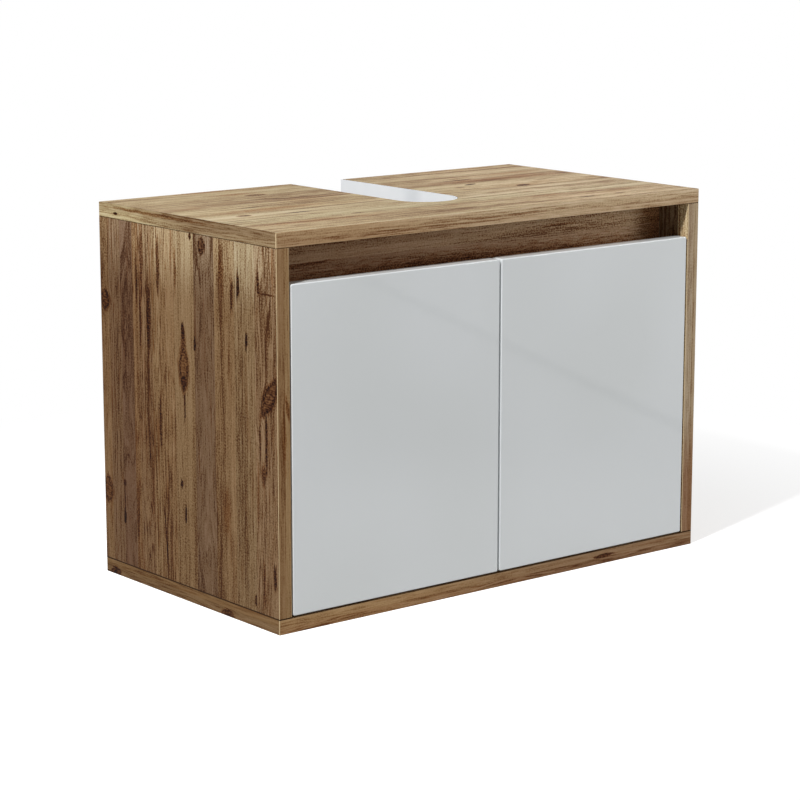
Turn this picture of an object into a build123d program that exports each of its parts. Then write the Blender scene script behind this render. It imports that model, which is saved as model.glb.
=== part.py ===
"""Wall-hung washbasin base cabinet with two inset doors.

Millimetres. X to the right, Y to the back, Z up. The origin is the middle of the underside:
the front is at y = -DEPTH/2 and the wall is at y = +DEPTH/2.
Every paired piece is built on the left and mirrored to the right.
"""
import os
from math import cos, radians, sin, sqrt

from build123d import *

os.makedirs("parts", exist_ok=True)

# ---------------------------------------------------------------- driving dimensions
# Carcass
WIDTH = 600.0
DEPTH = 330.0
HEIGHT = 420.0
BOARD = 16.0                # thickness of every carcass board
EDGING = 0.8                # thickness of the glued edge strips

# Cut-out for the basin's waste pipe, open at the back
CUTOUT_WIDTH = 75.0
CUTOUT_DEPTH = 236.0        # from the back edge to the foremost point
CUTOUT_EDGING = 1.2

# Doors
DOOR_THICKNESS = 16.0
DOOR_SIDE_GAP = 2.0
DOOR_MIDDLE_GAP = 2.6
DOOR_BOTTOM_GAP = 1.6
GRIP_GAP = 38.0             # height of the finger gap above the doors
DOOR_CORNER_RADIUS = 2.0
DOOR_EDGE_RADIUS = 1.2

# Rails
GRIP_RAIL_HEIGHT = 70.0
GRIP_RAIL_SETBACK = 47.0    # from the cabinet's front to the rail's face
BACK_RAIL_HEIGHT = 80.0
WALL_SCREW_RADIUS = 3.0
WALL_SCREW_SPACING = 420.0

# Dowels and cam fittings that hold the boards together
DOWEL_RADIUS = 4.0
DOWEL_IN_FACE = 11.0
DOWEL_IN_END = 19.0
DOWEL_SPREAD = 135.0        # front and back dowels, from the middle of the depth
CAM_RADIUS = 7.5
CAM_DEPTH = 12.5
CAM_INSET = 24.0            # from the end of the side panel to the cam's centre
CAM_SPREAD = 75.0
CAM_SLOT_LENGTH = 9.0
CAM_SLOT_WIDTH = 1.8
CAM_SLOT_DEPTH = 1.5
BOLT_RADIUS = 3.2
BOLT_IN_FACE = 11.0
FLUTES = 8
FIT = 0.05                  # radial clearance of a push fit
HOLE_END_CLEARANCE = 0.6
OVERCUT = 1.0               # how far a cut runs on past the board's faces

# Single-pivot cup hinge with a goose-neck arm
HINGE_INSET = 65.0          # from a door's end to the hinge's middle
CUP_RADIUS = 17.5
CUP_DEPTH = 11.5
CUP_WALL = 1.2
CUP_FLOOR = 0.9
CUP_EDGE_DISTANCE = 5.0     # from the door's edge to the cup
FLANGE_THICKNESS = 1.4
FLANGE_RADIUS = 20.0
CUP_SCREW_SPACING = 48.0
CUP_SCREW_OFFSET = 6.0
CUP_EAR_WIDTH = 14.0
PIVOT_INSET = 28.0          # from the door's edge to the pin
PIVOT_DEPTH = 9.0           # from the door's face to the pin
PIN_RADIUS = 1.75
PIN_CLEARANCE = 0.05
PIN_END_COVER = 0.3         # cup wall left outside the pin's ends
EYE_RADIUS = 3.1
ARM_THICKNESS = 3.0
ARM_WIDTH = 15.0
NECK_ANGLE = 52.0
NECK_LENGTH = 24.0
NECK_RUN = 18.0
NECK_RADIUS = 5.0
ARM_LENGTH = 36.0
ARM_SCREW_SHARES = (0.22, 0.62)     # places of its two screws, from the arm's end
PLATE_HEIGHT = 5.5
PLATE_WING = 2.2
PLATE_ROW = 37.0            # from the door's back to the row of plate screws
PLATE_SCREW_SPACING = 32.0
PLATE_WING_WIDTH = 16.0
SADDLE_INSET = 0.5          # the plate's saddle is narrower than the arm by this on each side

# Wood screws of the hinges
SCREW_RADIUS = 1.75
SCREW_HEAD_RADIUS = 3.5
SCREW_HEAD_HEIGHT = 1.8
SCREW_IN_PANEL = 11.0
SCREW_IN_DOOR = 9.0
SCREW_CROWN = 0.78          # width of the head's top as a share of its seat
SCREW_RECESS = 1.0          # depth of the cross in the head
SCREW_CROSS = 1 / 3         # width of the cross as a share of the head's radius
MACHINE_SCREW_RADIUS = 2.0
MACHINE_HEAD_RADIUS = 3.8

# Concealed wall hangers
HANGER_WIDTH = 16.0
HANGER_DEPTH = 50.0
HANGER_HEIGHT = 56.0
HANGER_DROP = 4.0           # below the top panel
HANGER_SETBACK = 7.0        # from the back of the cabinet
HANGER_PEG_RADIUS = 5.0
HANGER_PEG_LENGTH = 10.5
HANGER_PEG_INSET = 12.0     # from the housing's front to the middle of its pegs
HANGER_CORNER_RADIUS = 3.0
HANGER_SCREW_SHARES = (0.3, 0.7)    # places of its two screws, down its height
HOOK_THICKNESS = 2.5
HOOK_WIDTH = 11.0
HOOK_LIP = 12.0
HOOK_CLEARANCE = 0.5        # from the hook's lip to the wall
HANGER_SCREW_LENGTH = 12.0

# Stops that the closed doors rest against
STOP_LENGTH = 14.0
STOP_DEPTH = 9.0
STOP_HEIGHT = 12.0
STOP_OFFSET = 30.0
STOP_CLEARANCE = 0.2
STOP_CORNER_RADIUS = 2.0

# ---------------------------------------------------------------- places worked out from them
FRONT = -DEPTH / 2
BACK = DEPTH / 2
SIDE_OUT = -WIDTH / 2                   # outer face of the left side panel
SIDE_IN = SIDE_OUT + BOARD              # its inner face
FLOOR = BOARD                           # top of the bottom panel
CEILING = HEIGHT - BOARD                # underside of the top panel
DOOR_BACK = FRONT + DOOR_THICKNESS
DOOR_LEFT = SIDE_IN + DOOR_SIDE_GAP
DOOR_RIGHT = -DOOR_MIDDLE_GAP / 2
DOOR_BOTTOM = FLOOR + DOOR_BOTTOM_GAP
DOOR_TOP = CEILING - GRIP_GAP
PIVOT_X = DOOR_LEFT + PIVOT_INSET
PIVOT_Y = FRONT + PIVOT_DEPTH
CUP_X = DOOR_LEFT + CUP_EDGE_DISTANCE + CUP_RADIUS
PLATE_Y = DOOR_BACK + PLATE_ROW
HINGE_LEVELS = {"lower": DOOR_BOTTOM + HINGE_INSET, "upper": DOOR_TOP - HINGE_INSET}
CUTOUT_RADIUS = CUTOUT_WIDTH / 2
CUTOUT_CENTRE_Y = BACK - CUTOUT_DEPTH + CUTOUT_RADIUS

nodes = {}


def block(x0, x1, y0, y1, z0, z1):
    """Rectangular block between two opposite corners."""
    middle = Pos((x0 + x1) / 2, (y0 + y1) / 2, (z0 + z1) / 2)
    return middle * Box(x1 - x0, y1 - y0, z1 - z0)


def rod(start, direction, length, radius):
    """Round bar from a start point along a direction."""
    seat = Plane(origin=start, z_dir=direction)
    return seat * Cylinder(radius, length, align=(Align.CENTER, Align.CENTER, Align.MIN))


def fluted(start, direction, length, radius):
    """Bar with flats along it, for what is buried in the boards: dowels, bolts and screw shanks."""
    seat = Plane(origin=start, z_dir=direction)
    return extrude(seat * RegularPolygon(radius, FLUTES), amount=length)


def keep(name, *solids):
    """Store a node that holds one solid or a group of equal ones."""
    nodes[name] = solids[0] if len(solids) == 1 else Compound([part.solid() for part in solids])


def keep_pair(name, *solids):
    """Store a left node and its mirror image on the right. {side} stands for the side."""
    keep(name.format(side="left"), *solids)
    keep(name.format(side="right"), *[mirror(part, about=Plane.YZ) for part in solids])


# ---------------------------------------------------------------- joints between the boards
def end_joints():
    """Start points and directions of the joints at the side panel's top and bottom ends."""
    return [(CEILING, 1), (FLOOR, -1)]


def side_dowel_spots():
    """Middle point and outward direction of each dowel that ends in the left side panel."""
    board_middle = SIDE_OUT + BOARD / 2
    spots = [(Vector(board_middle, y, z), Vector(0, 0, way))
             for z, way in end_joints() for y in (-DOWEL_SPREAD, DOWEL_SPREAD)]
    grip_y = FRONT + GRIP_RAIL_SETBACK + BOARD / 2
    back_y = BACK - BOARD / 2
    for y, low, high in ((grip_y, CEILING - GRIP_RAIL_HEIGHT, CEILING),
                         (back_y, FLOOR, FLOOR + BACK_RAIL_HEIGHT)):
        quarter = (high - low) / 4
        spots += [(Vector(SIDE_IN, y, z), Vector(-1, 0, 0)) for z in (low + quarter, high - quarter)]
    return spots


def dowel(spot, grow=0.0, longer=0.0):
    """Dowel across a joint: the short end lies in a board's face, the long end in a board's end."""
    middle, way = spot
    start = middle - way * (DOWEL_IN_END + longer)
    return fluted(start, way, DOWEL_IN_END + DOWEL_IN_FACE + 2 * longer, DOWEL_RADIUS + grow)


def cam_spots():
    """Centre of each cam on the side panel's inner face, and the way its bolt points."""
    return [(Vector(SIDE_IN, y, z - way * CAM_INSET), way)
            for z, way in end_joints() for y in (-CAM_SPREAD, CAM_SPREAD)]


def bolt(spot, grow=0.0, longer=0.0):
    """Cam bolt from inside the cam, out of the side panel's end and into the next board."""
    centre, way = spot
    start = Vector(SIDE_OUT + BOARD / 2, centre.Y, centre.Z + way * CAM_RADIUS / 2)
    length = CAM_INSET - CAM_RADIUS / 2 + BOLT_IN_FACE + longer
    return fluted(start, Vector(0, 0, way), length, BOLT_RADIUS + grow)


def cam(spot, grow=0.0):
    """Cam barrel sunk in the side panel's inner face."""
    centre, _ = spot
    return rod(centre, Vector(-1, 0, 0), CAM_DEPTH + grow, CAM_RADIUS + grow)


DOWEL_HOLES = [dowel(spot, FIT, HOLE_END_CLEARANCE) for spot in side_dowel_spots()]
BOLT_HOLES = [bolt(spot, FIT, HOLE_END_CLEARANCE) for spot in cam_spots()]
CAM_HOLES = [cam(spot, FIT) for spot in cam_spots()]


def cut_for_joints(board):
    """Drill a board wherever a dowel or a cam bolt of either side enters it."""
    reach = board.bounding_box()
    holes = DOWEL_HOLES + BOLT_HOLES
    holes = holes + [mirror(hole, about=Plane.YZ) for hole in holes]
    for hole in holes:
        if reach.overlaps(hole.bounding_box()):
            board -= hole
    return board


# ---------------------------------------------------------------- carcass boards
def cutout(shrink=0.0, beyond=0.0):
    """Cut-out of the top panel: a slot from the back edge with a round inner end."""
    radius = CUTOUT_RADIUS - shrink
    bottom, top = CEILING - beyond, HEIGHT + beyond
    slot = block(-radius, radius, CUTOUT_CENTRE_Y, BACK + beyond, bottom, top)
    return slot + rod((0, CUTOUT_CENTRE_Y, bottom), (0, 0, 1), top - bottom, radius)


def flat_board(bottom, top):
    """Top or bottom board, less its front and end edge strips."""
    return block(SIDE_OUT + EDGING, -SIDE_OUT - EDGING, FRONT + EDGING, BACK, bottom, top)


def hinge_pilots():
    """Pilot holes of the plate screws in the left side panel."""
    return [fluted((SIDE_IN, PLATE_Y, level + way * PLATE_SCREW_SPACING / 2), (-1, 0, 0),
                   SCREW_IN_PANEL + HOLE_END_CLEARANCE, SCREW_RADIUS + FIT)
            for level in HINGE_LEVELS.values() for way in (-1, 1)]


def hanger_pegs(grow=0.0):
    """Two pegs that hold a hanger's housing in the side panel."""
    y = BACK - HANGER_SETBACK - HANGER_DEPTH + HANGER_PEG_INSET
    top = CEILING - HANGER_DROP
    levels = (top - HANGER_HEIGHT / 4, top - HANGER_HEIGHT * 3 / 4)
    return [fluted((SIDE_IN, y, z), (-1, 0, 0), HANGER_PEG_LENGTH + grow, HANGER_PEG_RADIUS + grow)
            for z in levels]


top_board = flat_board(CEILING, HEIGHT) - cutout(beyond=OVERCUT)
keep("top_panel", cut_for_joints(top_board))
keep("cutout_edging", cutout() - cutout(shrink=CUTOUT_EDGING, beyond=OVERCUT))
keep("bottom_panel", cut_for_joints(flat_board(0, FLOOR)))

side_board = block(SIDE_OUT, SIDE_IN, FRONT + EDGING, BACK, FLOOR, CEILING)
side_board = cut_for_joints(side_board)
for hole in CAM_HOLES + hinge_pilots() + hanger_pegs(grow=FIT):
    side_board -= hole
keep_pair("side_panel_{side}", side_board)

rail_front = FRONT + GRIP_RAIL_SETBACK
grip_rail = block(SIDE_IN, -SIDE_IN, rail_front, rail_front + BOARD, CEILING - GRIP_RAIL_HEIGHT, CEILING)
keep("grip_rail", cut_for_joints(grip_rail))

back_rail = block(SIDE_IN, -SIDE_IN, BACK - BOARD, BACK, FLOOR, FLOOR + BACK_RAIL_HEIGHT)
for x in (-WALL_SCREW_SPACING / 2, WALL_SCREW_SPACING / 2):
    centre = (x, BACK - BOARD, FLOOR + BACK_RAIL_HEIGHT / 2)
    back_rail -= rod(centre, (0, 1, 0), BOARD, WALL_SCREW_RADIUS)
keep("back_rail", cut_for_joints(back_rail))

# ---------------------------------------------------------------- edge strips
for level, low, high in (("top", CEILING, HEIGHT), ("bottom", 0, FLOOR)):
    front_strip = block(SIDE_OUT, -SIDE_OUT, FRONT, FRONT + EDGING, low, high)
    keep(f"{level}_front_edging", front_strip)
    end_strip = block(SIDE_OUT, SIDE_OUT + EDGING, FRONT + EDGING, BACK, low, high)
    keep_pair(level + "_{side}_edging", end_strip)
keep_pair("side_{side}_front_edging", block(SIDE_OUT, SIDE_IN, FRONT, FRONT + EDGING, FLOOR, CEILING))

# ---------------------------------------------------------------- board fittings
keep_pair("dowels_{side}", *[dowel(spot) for spot in side_dowel_spots()])

bolts = [bolt(spot) for spot in cam_spots()]
cams = []
for spot, shank_hole in zip(cam_spots(), BOLT_HOLES):
    centre, _ = spot
    barrel = cam(spot) - shank_hole
    barrel -= Pos(centre) * Box(2 * CAM_SLOT_DEPTH, CAM_SLOT_LENGTH, CAM_SLOT_WIDTH)
    cams.append(barrel)
keep_pair("cam_bolts_{side}", *bolts)
keep_pair("cams_{side}", *cams)


# ---------------------------------------------------------------- doors
def cup_screw_spots(level):
    """Centres of a cup's two screws on the door's back."""
    return [Vector(CUP_X + CUP_SCREW_OFFSET, DOOR_BACK, level + way * CUP_SCREW_SPACING / 2)
            for way in (-1, 1)]


def door():
    """Left door: a slab with softened front edges, bored for its two hinge cups."""
    slab = block(DOOR_LEFT, DOOR_RIGHT, FRONT, DOOR_BACK, DOOR_BOTTOM, DOOR_TOP)
    slab = fillet(slab.edges().filter_by(Axis.Y), DOOR_CORNER_RADIUS)
    slab = fillet(slab.faces().sort_by(Axis.Y)[0].edges(), DOOR_EDGE_RADIUS)
    for level in HINGE_LEVELS.values():
        slab -= rod((CUP_X, DOOR_BACK, level), (0, -1, 0), CUP_DEPTH + FIT, CUP_RADIUS + FIT)
        for spot in cup_screw_spots(level):
            slab -= fluted(spot, (0, -1, 0), SCREW_IN_DOOR + HOLE_END_CLEARANCE, SCREW_RADIUS + FIT)
    return slab


keep_pair("door_{side}", door())


# ---------------------------------------------------------------- hinges
def screw(seat, direction, shank, radius=SCREW_RADIUS, head_radius=SCREW_HEAD_RADIUS):
    """Pan-head screw with a cross recess: the head stands on the seat, the shank runs along the direction."""
    way = Vector(direction).normalized()
    crown = Plane(origin=Vector(seat) - way * SCREW_HEAD_HEIGHT, z_dir=way)
    head = Cone(head_radius * SCREW_CROWN, head_radius, SCREW_HEAD_HEIGHT,
                align=(Align.CENTER, Align.CENTER, Align.MIN))
    body = fluted(seat, way, shank, radius) + crown * head
    recess = Box(head_radius, head_radius * SCREW_CROSS, 2 * SCREW_RECESS)
    return body - crown * recess - crown * Rot(0, 0, 90) * recess


def hinge_cup(level):
    """Cup in the door with its flange, screw holes and the bore for the pin."""
    floor_y = DOOR_BACK - CUP_DEPTH
    cup = rod((CUP_X, floor_y, level), (0, 1, 0), CUP_DEPTH + FLANGE_THICKNESS, CUP_RADIUS)
    flange = rod((CUP_X, DOOR_BACK, level), (0, 1, 0), FLANGE_THICKNESS, FLANGE_RADIUS)
    ears = Plane.XZ * Rot(0, 0, 90) * SlotCenterToCenter(CUP_SCREW_SPACING, CUP_EAR_WIDTH)
    ears = extrude(ears, amount=-FLANGE_THICKNESS)
    flange += Pos(CUP_X + CUP_SCREW_OFFSET, DOOR_BACK, level) * ears
    cup += flange
    hollow_depth = CUP_DEPTH - CUP_FLOOR + FLANGE_THICKNESS
    cup -= rod((CUP_X, floor_y + CUP_FLOOR, level), (0, 1, 0), hollow_depth, CUP_RADIUS - CUP_WALL)
    for spot in cup_screw_spots(level):
        cup -= fluted(spot, (0, 1, 0), FLANGE_THICKNESS, SCREW_RADIUS + 2 * FIT)
    return cup - hinge_pin(level, grow=FIT / 2)


def hinge_pin(level, grow=0.0):
    """Pin across the cup, held in the cup's wall at both ends."""
    half = sqrt((CUP_RADIUS - PIN_END_COVER) ** 2 - (PIVOT_X - CUP_X + PIN_RADIUS) ** 2) + grow
    return rod((PIVOT_X, PIVOT_Y, level - half), (0, 0, 1), 2 * half, PIN_RADIUS + grow)


def arm_path(level):
    """Middle line of the goose-neck arm, from the pin round the door's edge to the plate."""
    pin = Vector(PIVOT_X, PIVOT_Y, level)
    neck = pin + Vector(cos(radians(NECK_ANGLE)), sin(radians(NECK_ANGLE)), 0) * NECK_LENGTH
    bend = neck + Vector(0, NECK_RUN, 0)
    landing = Vector(SIDE_IN + PLATE_HEIGHT + ARM_THICKNESS / 2, bend.Y, level)
    end = landing + Vector(0, ARM_LENGTH, 0)
    return FilletPolyline(pin, neck, bend, landing, end, radius=NECK_RADIUS)


def arm_screw_spots(level):
    """Seats of the side and depth adjusting screws on the arm's straight part."""
    end = arm_path(level) @ 1
    seat_x = SIDE_IN + PLATE_HEIGHT + ARM_THICKNESS
    return [Vector(seat_x, end.Y - ARM_LENGTH * share, level) for share in ARM_SCREW_SHARES]


def hinge_arm(level):
    """Bent strip with an eye round the pin and a straight part on the mounting plate."""
    path = arm_path(level)
    section = Plane(origin=path @ 0, x_dir=(0, 0, 1), z_dir=path % 0) * Rectangle(ARM_WIDTH, ARM_THICKNESS)
    arm = sweep(section, path=path)
    arm += rod((PIVOT_X, PIVOT_Y, level - ARM_WIDTH / 2), (0, 0, 1), ARM_WIDTH, EYE_RADIUS)
    arm -= rod((PIVOT_X, PIVOT_Y, level - ARM_WIDTH), (0, 0, 1), 2 * ARM_WIDTH, PIN_RADIUS + PIN_CLEARANCE)
    for seat in arm_screw_spots(level):
        arm -= fluted(seat, (-1, 0, 0), ARM_THICKNESS, MACHINE_SCREW_RADIUS + 2 * FIT)
    return arm


def mounting_plate(level):
    """Plate on the side panel: two wings for the screws and a raised block under the arm."""
    end = arm_path(level) @ 1
    narrow = ARM_WIDTH / 2 - SADDLE_INSET
    saddle = block(SIDE_IN, SIDE_IN + PLATE_HEIGHT, end.Y - ARM_LENGTH + NECK_RADIUS, end.Y,
                   level - narrow, level + narrow)
    wings = Plane.YZ * Rot(0, 0, 90) * SlotCenterToCenter(PLATE_SCREW_SPACING, PLATE_WING_WIDTH)
    plate = saddle + Pos(SIDE_IN, PLATE_Y, level) * extrude(wings, amount=PLATE_WING)
    for way in (-1, 1):
        spot = (SIDE_IN, PLATE_Y, level + way * PLATE_SCREW_SPACING / 2)
        plate -= fluted(spot, (1, 0, 0), PLATE_WING, SCREW_RADIUS + 2 * FIT)
    for seat in arm_screw_spots(level):
        plate -= fluted(seat, (-1, 0, 0), ARM_THICKNESS + PLATE_HEIGHT, MACHINE_SCREW_RADIUS + FIT)
    return plate


for place, level in HINGE_LEVELS.items():
    keep_pair("hinge_cup_{side}_" + place, hinge_cup(level))
    keep_pair("hinge_pin_{side}_" + place, hinge_pin(level))
    keep_pair("hinge_arm_{side}_" + place, hinge_arm(level))
    keep_pair("hinge_plate_{side}_" + place, mounting_plate(level))
    flange_top = Vector(0, FLANGE_THICKNESS, 0)
    keep_pair("cup_screws_{side}_" + place,
              *[screw(spot + flange_top, (0, -1, 0), SCREW_IN_DOOR + FLANGE_THICKNESS)
                for spot in cup_screw_spots(level)])
    keep_pair("plate_screws_{side}_" + place,
              *[screw((SIDE_IN + PLATE_WING, PLATE_Y, level + way * PLATE_SCREW_SPACING / 2), (-1, 0, 0),
                      SCREW_IN_PANEL + PLATE_WING) for way in (-1, 1)])
    keep_pair("arm_screws_{side}_" + place,
              *[screw(seat, (-1, 0, 0), ARM_THICKNESS + PLATE_HEIGHT - 2 * FIT,
                      MACHINE_SCREW_RADIUS, MACHINE_HEAD_RADIUS) for seat in arm_screw_spots(level)])


# ---------------------------------------------------------------- wall hangers
def hanger_housing():
    """Moulded housing on pegs, open at the back where the hook slides in it."""
    back = BACK - HANGER_SETBACK
    top = CEILING - HANGER_DROP
    shell = block(SIDE_IN, SIDE_IN + HANGER_WIDTH, back - HANGER_DEPTH, back, top - HANGER_HEIGHT, top)
    shell = fillet(shell.faces().sort_by(Axis.X)[-1].edges(), HANGER_CORNER_RADIUS)
    for peg in hanger_pegs():
        shell += peg
    for seat in hanger_screw_seats():
        shell -= fluted(seat, (0, 1, 0), HANGER_SCREW_LENGTH + HOLE_END_CLEARANCE, MACHINE_SCREW_RADIUS + FIT)
    return shell - hook_bar(grow=FIT)


def hook_bar(grow=0.0):
    """Straight bar of the hook inside the housing."""
    middle_x = SIDE_IN + HANGER_WIDTH / 2
    top = CEILING - HANGER_DROP - HANGER_HEIGHT / 4
    start = BACK - HANGER_SETBACK - HANGER_DEPTH / 2
    return block(middle_x - HOOK_WIDTH / 2 - grow, middle_x + HOOK_WIDTH / 2 + grow,
                 start - grow, BACK - HOOK_CLEARANCE, top - HOOK_THICKNESS - grow, top + grow)


def hanger_hook():
    """Steel hook whose lip hangs down behind the wall plate."""
    bar = hook_bar()
    reach = bar.bounding_box()
    lip = block(reach.min.X, reach.max.X, reach.max.Y - HOOK_THICKNESS, reach.max.Y,
                reach.max.Z - HOOK_LIP, reach.max.Z)
    return bar + lip


def hanger_screw_seats():
    """Where the heads of the height and depth screws stand on the housing's front."""
    middle_x = SIDE_IN + HANGER_WIDTH / 2
    front = BACK - HANGER_SETBACK - HANGER_DEPTH
    top = CEILING - HANGER_DROP
    return [Vector(middle_x, front, top - HANGER_HEIGHT * share) for share in HANGER_SCREW_SHARES]


keep_pair("hanger_housing_{side}", hanger_housing())
keep_pair("hanger_hook_{side}", hanger_hook())
keep_pair("hanger_screws_{side}",
          *[screw(seat, (0, 1, 0), HANGER_SCREW_LENGTH, MACHINE_SCREW_RADIUS, MACHINE_HEAD_RADIUS)
            for seat in hanger_screw_seats()])


# ---------------------------------------------------------------- door stops
def door_stop():
    """Small block on the bottom panel, just behind the closed door."""
    front = DOOR_BACK + STOP_CLEARANCE
    stop = block(-STOP_OFFSET - STOP_LENGTH, -STOP_OFFSET, front, front + STOP_DEPTH,
                 FLOOR, FLOOR + STOP_HEIGHT)
    return fillet(stop.edges().filter_by(Axis.Z), STOP_CORNER_RADIUS)


keep_pair("door_stop_{side}", door_stop())

# ---------------------------------------------------------------- write one file for each node
for name, shape in nodes.items():
    export_step(shape, f"parts/{name}.step")
print(len(nodes), "nodes")
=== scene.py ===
from math import pi, radians

import bmesh
import bpy
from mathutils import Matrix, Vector

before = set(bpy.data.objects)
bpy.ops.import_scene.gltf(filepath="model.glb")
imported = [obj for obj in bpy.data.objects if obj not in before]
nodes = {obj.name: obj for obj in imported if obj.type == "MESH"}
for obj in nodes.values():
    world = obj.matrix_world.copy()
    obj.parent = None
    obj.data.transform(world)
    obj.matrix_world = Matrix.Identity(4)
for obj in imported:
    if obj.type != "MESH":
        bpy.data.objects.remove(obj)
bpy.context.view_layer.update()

# ------------------------------------------------------------------ carcass boards
# The top, the bottom, the two sides, the rail behind the finger gap and the rail at the wall.
# They are 16 mm chipboard, pressed on both faces with melamine paper printed as rustic oak staves,
# and held together by dowels and cams. The cut ends behind the edge strips are bare chipboard.
MM = 0.001                      # materials work in millimetres, the scene in metres
X, Y, Z = 0, 1, 2
BOARD = 16
TOP_FACE = 420                  # where the printed faces lie, in millimetres
SIDE_FACE = 300
FRONT_FACE = -165
GRIP_RAIL_FACE = -118
BACK_RAIL_FACE = 149
SEAM_SHADE = 1.15                     # painted shade: the dark line at the foot of a side, where it stands on the bottom
FINER = 0.8                     # how much finer the line at its head is, under the top
STANDING = (BOARD, TOP_FACE - BOARD + FINER)    # from the bottom to the top, and so much into it
BOARD_ARRIS = 0.6 * MM
SHARP_CORNER = radians(60)
ROUND = 0.99                    # on a rounded corner, no part of the normal is larger than this
TURNED = 0.3                    # a surface faces an axis where that part of its normal is larger

OAK_SHADES = [(0.0, "#6C4A2D"), (0.25, "#9E815F"), (0.5, "#CEBC97"), (0.75, "#DECFAD"), (1.0, "#EDE0C2")]
STAINS = [(0.0, "#FFFFFF"), (0.3, "#D8BDA6"), (0.65, "#866350"), (1.0, "#36190D")]
CHIP_SHADES = [(0.0, "#97784F"), (0.45, "#C3A474"), (0.8, "#DBC497"), (1.0, "#EBDDBB")]
# painted shade in the hairline gaps of closed joints
JOINT_SHADE_BROWN = "#33200F"
STRIP_CORE = "#D9C39C"
PRINT_ROUGHNESS = 0.54
CHIP_ROUGHNESS = 0.9
STRIP_TONES = (0.2, 0.8)
STRIP_ROUGHNESS = (0.58, 0.5)   # where the print has the first of these tones, and the second

# The printed figure is made of these: length and width in millimetres, and detail. Real fibres and
# pores are about 0.2 mm wide. They are drawn coarser here, so that they show.
OAK_FIGURE = {
    "clouds": (330, 26, 2), "bands": (280, 8, 2), "rings": (420, 2.1, 1), "fibres": (28, 1.7, 1),
    "pores": (1.9, 1.7, 0), "saw marks": (2.6, 34, 0), "patches": (150, 24, 1), "streaks": (100, 3.4, 2),
    "flecks": (24, 2.4, 1)}
OAK_WEIGHTS = {                 # how far each of them sways the tone, which runs from 0, dark, to 1, pale
    "clouds": 0.75, "bands": 0.65, "rings": 1.0, "fibres": 1.0, "pores": 0.72, "saw marks": 0.1}
MIDDLE_TONE = 0.5
RINGS_SHARE = (0.35, 1.25)      # of rings and fibres, in the least and in the most ringed stave
PATCH = (0.42, 0.62)            # where in its noise a patch begins and where it is full
OAK_DARKS = {                   # where in its noise a dark begins and where it is full, and its depth
    "streaks": (0.5, 0.68, 0.65), "flecks": (0.64, 0.74, 0.7)}
FLAME_SIZE = (170, 30)          # how long and how wide the bends are
FLAME_BEND = (5, 60)            # in a plain stave and in the most flamed one
CHIP_FLAKE = (2.2, 2.2, 1.1)
STAVE_STEP = 2300               # along the print, over the whole range of a tint's blue
DEPTH_STEP = 23                 # along the print, for each millimetre into the board

# Knots and marks have jagged edges. A knot has rings, from its heart to twice its size, and
# pushes the grain aside over about twice its size.
JAG_SIZE = (16, 1.3)            # along and across the grain
KNOT_JAGS = 1.5
KNOT_RINGS = [(0.0, 0.8), (0.08, 0.6), (0.2, 0.4), (0.3, 0.7), (0.36, 0.5), (0.44, 1.0), (0.52, 0.95),
              (0.6, 0.3), (0.68, 0.45), (0.8, 0.0)]
KNOT_REACH = 2                  # in knots, where the rings end
PUSH_SIZE = (2, 2.5)            # along and across, in knots
PUSH = 0.8                      # how far the grain moves, as a part of its distance from the knot's line
MARK_JAGS = 1.4
MARK_CORE = 0.9                 # the part of a mark that is fully dark, where its depth is 1
MARK_EDGE = 1.15                # in marks, where its edge has faded out
PALE_LIFT = 0.4                 # how far a mark of depth -1 lifts the tone
MARK_DEPTH = 5                  # into the board, for knots too
NOISE_LOW = 0.3                 # a noise runs from 0 to 1, but little of it lies below this
NOISE_MIDDLE = 0.5
NOISE_HIGH = 0.7                # or above this
TORN = (1.2, 0.68)              # how dark a knot or mark stays in and between the pores


def linear(hex_colour):
    """A colour written as sRGB hex, as the linear values that Blender works in."""
    channels = [int(hex_colour[i:i + 2], 16) / 255 for i in (1, 3, 5)]
    return [c / 12.92 if c <= 0.04045 else ((c + 0.055) / 1.055) ** 2.4 for c in channels] + [1.0]


def feed(tree, node, inputs):
    """Give inputs of a node a value, a socket, or a node whose first output is used."""
    for key, value in inputs.items():
        source = value.outputs[0] if isinstance(value, bpy.types.Node) else value
        if isinstance(source, bpy.types.NodeSocket):
            tree.links.new(source, node.inputs[key])
        else:
            node.inputs[key].default_value = source


def add(tree, kind, inputs=None, stops=None, **settings):
    """Add a node. The inputs of a Map Range are 1 and 2, from, and 3 and 4, to. Mix blends 6 and 7 by 0.

    A stop's colour is a hex string, three levels, or one level for all three channels.
    """
    node = tree.nodes.new("ShaderNode" + kind)
    for setting, value in settings.items():
        setattr(node, setting, value)
    feed(tree, node, inputs or {})
    if stops:
        ramp = node.color_ramp.elements
        for place, colour in stops[2:]:
            ramp.new(place)
        for element, (place, colour) in zip(ramp, stops):
            levels = (colour,) * 3 if isinstance(colour, (int, float)) else colour
            element.position = place
            element.color = linear(colour) if isinstance(colour, str) else (*levels, 1.0)
    return node


def finish(name):
    """A new material: its node tree, and the shader that its surface comes from."""
    material = bpy.data.materials.new(name)
    material.use_nodes = True
    return material, material.node_tree, material.node_tree.nodes["Principled BSDF"]


def dress(material, *names):
    """Put a material on CAD nodes."""
    for name in names:
        for slot in nodes[name].material_slots:
            slot.material = material


def soften(width, *names):
    """Break the sharp corners of CAD nodes. Their loose triangles are joined first."""
    for name in names:
        weld = nodes[name].modifiers.new("join", "WELD")
        weld.merge_threshold = 0.01 * MM
        bevel = nodes[name].modifiers.new("arris", "BEVEL")
        bevel.width = width
        bevel.segments = 2
        bevel.limit_method = "ANGLE"
        bevel.angle_limit = SHARP_CORNER


def strongest(tree, shades, way="MAXIMUM"):
    """The strongest of several shades at each place."""
    whole, *others = shades
    for shade in others:
        whole = add(tree, "Math", {0: whole, 1: shade}, operation=way)
    return whole


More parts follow.
